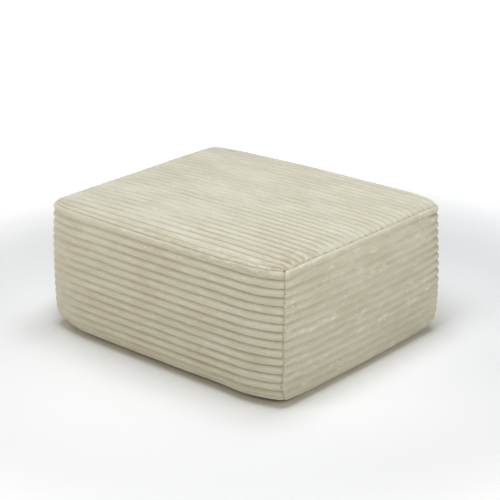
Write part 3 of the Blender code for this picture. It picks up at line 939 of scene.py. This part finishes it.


# %% [markdown]
# ## Corduroy
# The pile is a pale cream with a green cast. It catches light at a grazing angle, which the
# sheen gives. Where the nap has been stroked the other way it looks lighter or darker, in
# patches drawn out along the ribs. The grooves darken by their depth towards the darker ground
# of the cloth: partly the real ground, and partly painted shade in the grooves.


# %% Corduroy
def corduroy(name, light, shade, ground_and_shade, rubbed_light):
    paint = Paint(name)
    cloth = paint.node("ShaderNodeUVMap", {"uv_map": "cloth"})
    groove, seam, rubbed, brushed = map(paint.mark, ("groove", "seam", "rubbed", "brushed"))
    patches = paint.noise(cloth, 9.0, 3.0, (0.55, 1.6, 1.0))
    strokes = paint.noise(cloth, 60.0, 2.0, (0.30, 1.3, 1.0))
    flecks = paint.dabs(cloth, 34.0, (0.60, 1.4, 1.0), 0.06, 0.48)
    flecks = flecks + paint.dabs(cloth, 62.0, (0.75, 1.5, 1.0), 0.05, 0.42)
    specks = paint.noise(cloth, 260.0, 1.0, (0.6, 1.0, 1.0))
    crowds = paint.noise(cloth, 22.0, 2.0, (0.6, 1.2, 1.0))
    fluff = paint.noise(cloth, 300.0, 3.0, (0.7, 1.0, 1.0))
    pile = paint.noise(cloth, 900.0, 2.0)
    stroked = patches.ramp(0.34, 0.68) * 0.42 + strokes.ramp(0.35, 0.70) * 0.34
    nap = stroked + (fluff.ramp(0.36, 0.64) - 0.5) * 0.54 + 0.12
    colour = paint.mix_colour(nap, shade, light)
    # Rubbed spots, in groups, where the pile stands up and shows pale.
    spots = flecks * crowds.ramp(0.46, 0.64) * rubbed
    colour = paint.mix_colour(spots * 0.75, colour, rubbed_light)
    # Blots and streaks where the pile has been brushed the dark way.
    streaks = paint.noise(cloth, 70.0, 3.0, (0.45, 1.5, 1.0)).ramp(0.44, 0.58) * brushed
    dents = specks.ramp(0.66, 0.76) * 0.22
    # Painted shade in the grooves: they darken towards the ground colour by their depth, partly the
    # cloth's real ground and partly shade painted where light reaches less.
    ground_and_groove_shade = groove.ramp(0.30, 1.40) * 0.62
    # The stitches draw the pile down into small holes along the seams. These holes, and a speckled line of
    # painted shade along each seam, darken towards the ground colour.
    stitch_holes_and_seam_shade = specks.ramp(0.50, 0.62) * seam.ramp(0.0050, 0.0008) * 0.75
    colour = paint.mix_colour(dents, colour, shade)
    colour = paint.mix_colour(streaks * 0.50, colour, ground_and_shade)
    colour = paint.mix_colour(ground_and_groove_shade, colour, ground_and_shade)
    colour = paint.mix_colour(stitch_holes_and_seam_shade, colour, ground_and_shade)
    relief = strokes * 0.3 + fluff * 0.6 + pile * 0.3 + spots * 0.4
    bump = paint.node("ShaderNodeBump", {}, {"Strength": 0.45, "Distance": 0.0010, "Height": relief})
    paint.finish(Base_Color=colour, Roughness=0.92, Sheen_Weight=0.35, Sheen_Roughness=0.45, Normal=bump)
    return paint.material


CREAM_LIGHT = (0.66, 0.64, 0.53, 1.0)
CREAM_SHADE = (0.54, 0.51, 0.39, 1.0)
# This ground colour is also the colour of the painted shade in the grooves and along the seams.
CREAM_GROUND_AND_SHADE = (0.37, 0.29, 0.16, 1.0)
CREAM_RUBBED = (0.80, 0.78, 0.68, 1.0)
cream = corduroy("cream_corduroy", CREAM_LIGHT, CREAM_SHADE, CREAM_GROUND_AND_SHADE, CREAM_RUBBED)
for node, piece in panels.items():
    piece.data.materials.append(cream)

# %% [markdown]
# ## Base cloth
# The plain cloth under the filling is an even weave, a little darker and yellower than the pile.
# Two sets of waves crossed at right angles give its threads, and a slow noise its unevenness.


# %% Base cloth
def base_cloth(name, light, dark):
    paint = Paint(name)
    place = paint.node("ShaderNodeTexCoord", output=3)
    threads = []
    for direction in ("X", "Y"):
        settings = {"wave_type": "BANDS", "bands_direction": direction}
        threads.append(paint.node("ShaderNodeTexWave", settings, {"Vector": place, "Scale": 160.0}, 1))
    weave = threads[0] * threads[1]
    uneven = paint.noise(place, 30.0, 3.0)
    colour = paint.mix_colour(weave * 0.6 + uneven * 0.5, dark, light)
    bump = paint.node("ShaderNodeBump", {}, {"Strength": 0.3, "Distance": 0.0004, "Height": weave})
    paint.finish(Base_Color=colour, Roughness=0.9, Sheen_Weight=0.1, Normal=bump)
    return paint.material


THREAD_LIGHT = (0.62, 0.58, 0.46, 1.0)
THREAD_DARK = (0.46, 0.42, 0.31, 1.0)
filled_body.data.materials.append(base_cloth("base_cloth", THREAD_LIGHT, THREAD_DARK))

# %% [markdown]
# ## Studio
# The floor is plain and white. Away from the ottoman it glows, as a lit sweep does, so it stays
# pale to the edge of the picture. Close by it doesn't, so the ottoman's shadow shows.


# %% Floor
FLOOR_WHITE = (0.9, 0.9, 0.9, 1.0)
GLOW = (0.92, 0.92, 0.92, 1.0)
GLOW_FROM = 0.9
GLOW_TO = 2.2


def make_floor():
    bm = bmesh.new()
    bmesh.ops.create_grid(bm, x_segments=1, y_segments=1, size=30.0)
    mesh = bpy.data.meshes.new("floor")
    bm.to_mesh(mesh)
    bm.free()
    floor = bpy.data.objects.new("floor", mesh)
    bpy.context.scene.collection.objects.link(floor)
    paint = Paint("floor_white")
    place = paint.node("ShaderNodeTexCoord", output=3)
    away = paint.node("ShaderNodeVectorMath", {"operation": "LENGTH"}, {0: place}, 1)
    glow = paint.mix_colour(away.ramp(GLOW_FROM, GLOW_TO), (0.0, 0.0, 0.0, 1.0), GLOW)
    paint.finish(Base_Color=FLOOR_WHITE, Roughness=0.9, Emission_Color=glow, Emission_Strength=1.0)
    mesh.materials.append(paint.material)


make_floor()

# %% [markdown]
# ## Lights
# All the lamps are large and soft, and turned to the middle of the ottoman. Two strong ones
# overhead light the top coolly, with a weak one behind them. The ones in front and at the sides
# are warmer and weaker, and fill the walls.

# %% Lights
LIGHT_TARGET = Vector((0.0, 0.0, 0.2))
WORLD_GLOW = 0.05
# Name, place, size, power and colour.
LAMPS = [
    ("key", (0.36, -1.1, 3.15), 1.4, 40.0, (0.94, 0.99, 1.08)),
    ("overhead", (0.2, 0.2, 3.4), 1.6, 43.0, (0.94, 0.99, 1.08)),
    ("back_high", (0.2, 1.6, 3.2), 2.0, 9.0, (1.0, 1.0, 1.0)),
    ("front_fill", (2.6, -2.8, 2.6), 1.6, 15.0, (1.12, 1.0, 0.74)),
    ("front_left", (-1.6, -3.0, 1.2), 2.0, 20.5, (1.11, 0.985, 0.74)),
    ("right_side", (3.0, 0.4, 1.7), 2.0, 22.0, (1.07, 1.0, 0.79)),
    ("left_side", (-3.0, 0.6, 1.7), 2.0, 18.0, (1.06, 1.02, 0.89)),
]


def area_light(name, place, size, power, colour):
    light = bpy.data.lights.new(name, "AREA")
    light.shape = "DISK"
    light.size = size
    light.energy = power
    light.color = colour
    lamp = bpy.data.objects.new(name, light)
    lamp.location = place
    lamp.rotation_mode = "QUATERNION"
    lamp.rotation_quaternion = (LIGHT_TARGET - Vector(place)).to_track_quat("-Z", "Y")
    bpy.context.scene.collection.objects.link(lamp)


for lamp in LAMPS:
    area_light(*lamp)
world = bpy.data.worlds.new("studio")
bpy.context.scene.world = world
world.use_nodes = True
background = world.node_tree.nodes["Background"]
background.inputs["Color"].default_value = (1.0, 1.0, 1.0, 1.0)
background.inputs["Strength"].default_value = WORLD_GLOW
bpy.context.scene.view_settings.view_transform = "Standard"
print(len(LAMPS), "soft lights,", sum(lamp[3] for lamp in LAMPS), "watts in all")

# %% [markdown]
# ## Tie the pieces to the frame
# Each panel stands for its solid and moves with the one body.

# %% Ride and replace
for node, piece in panels.items():
    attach(piece, "root")
    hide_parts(node)
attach(filled_body, "root")
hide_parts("filled_body")
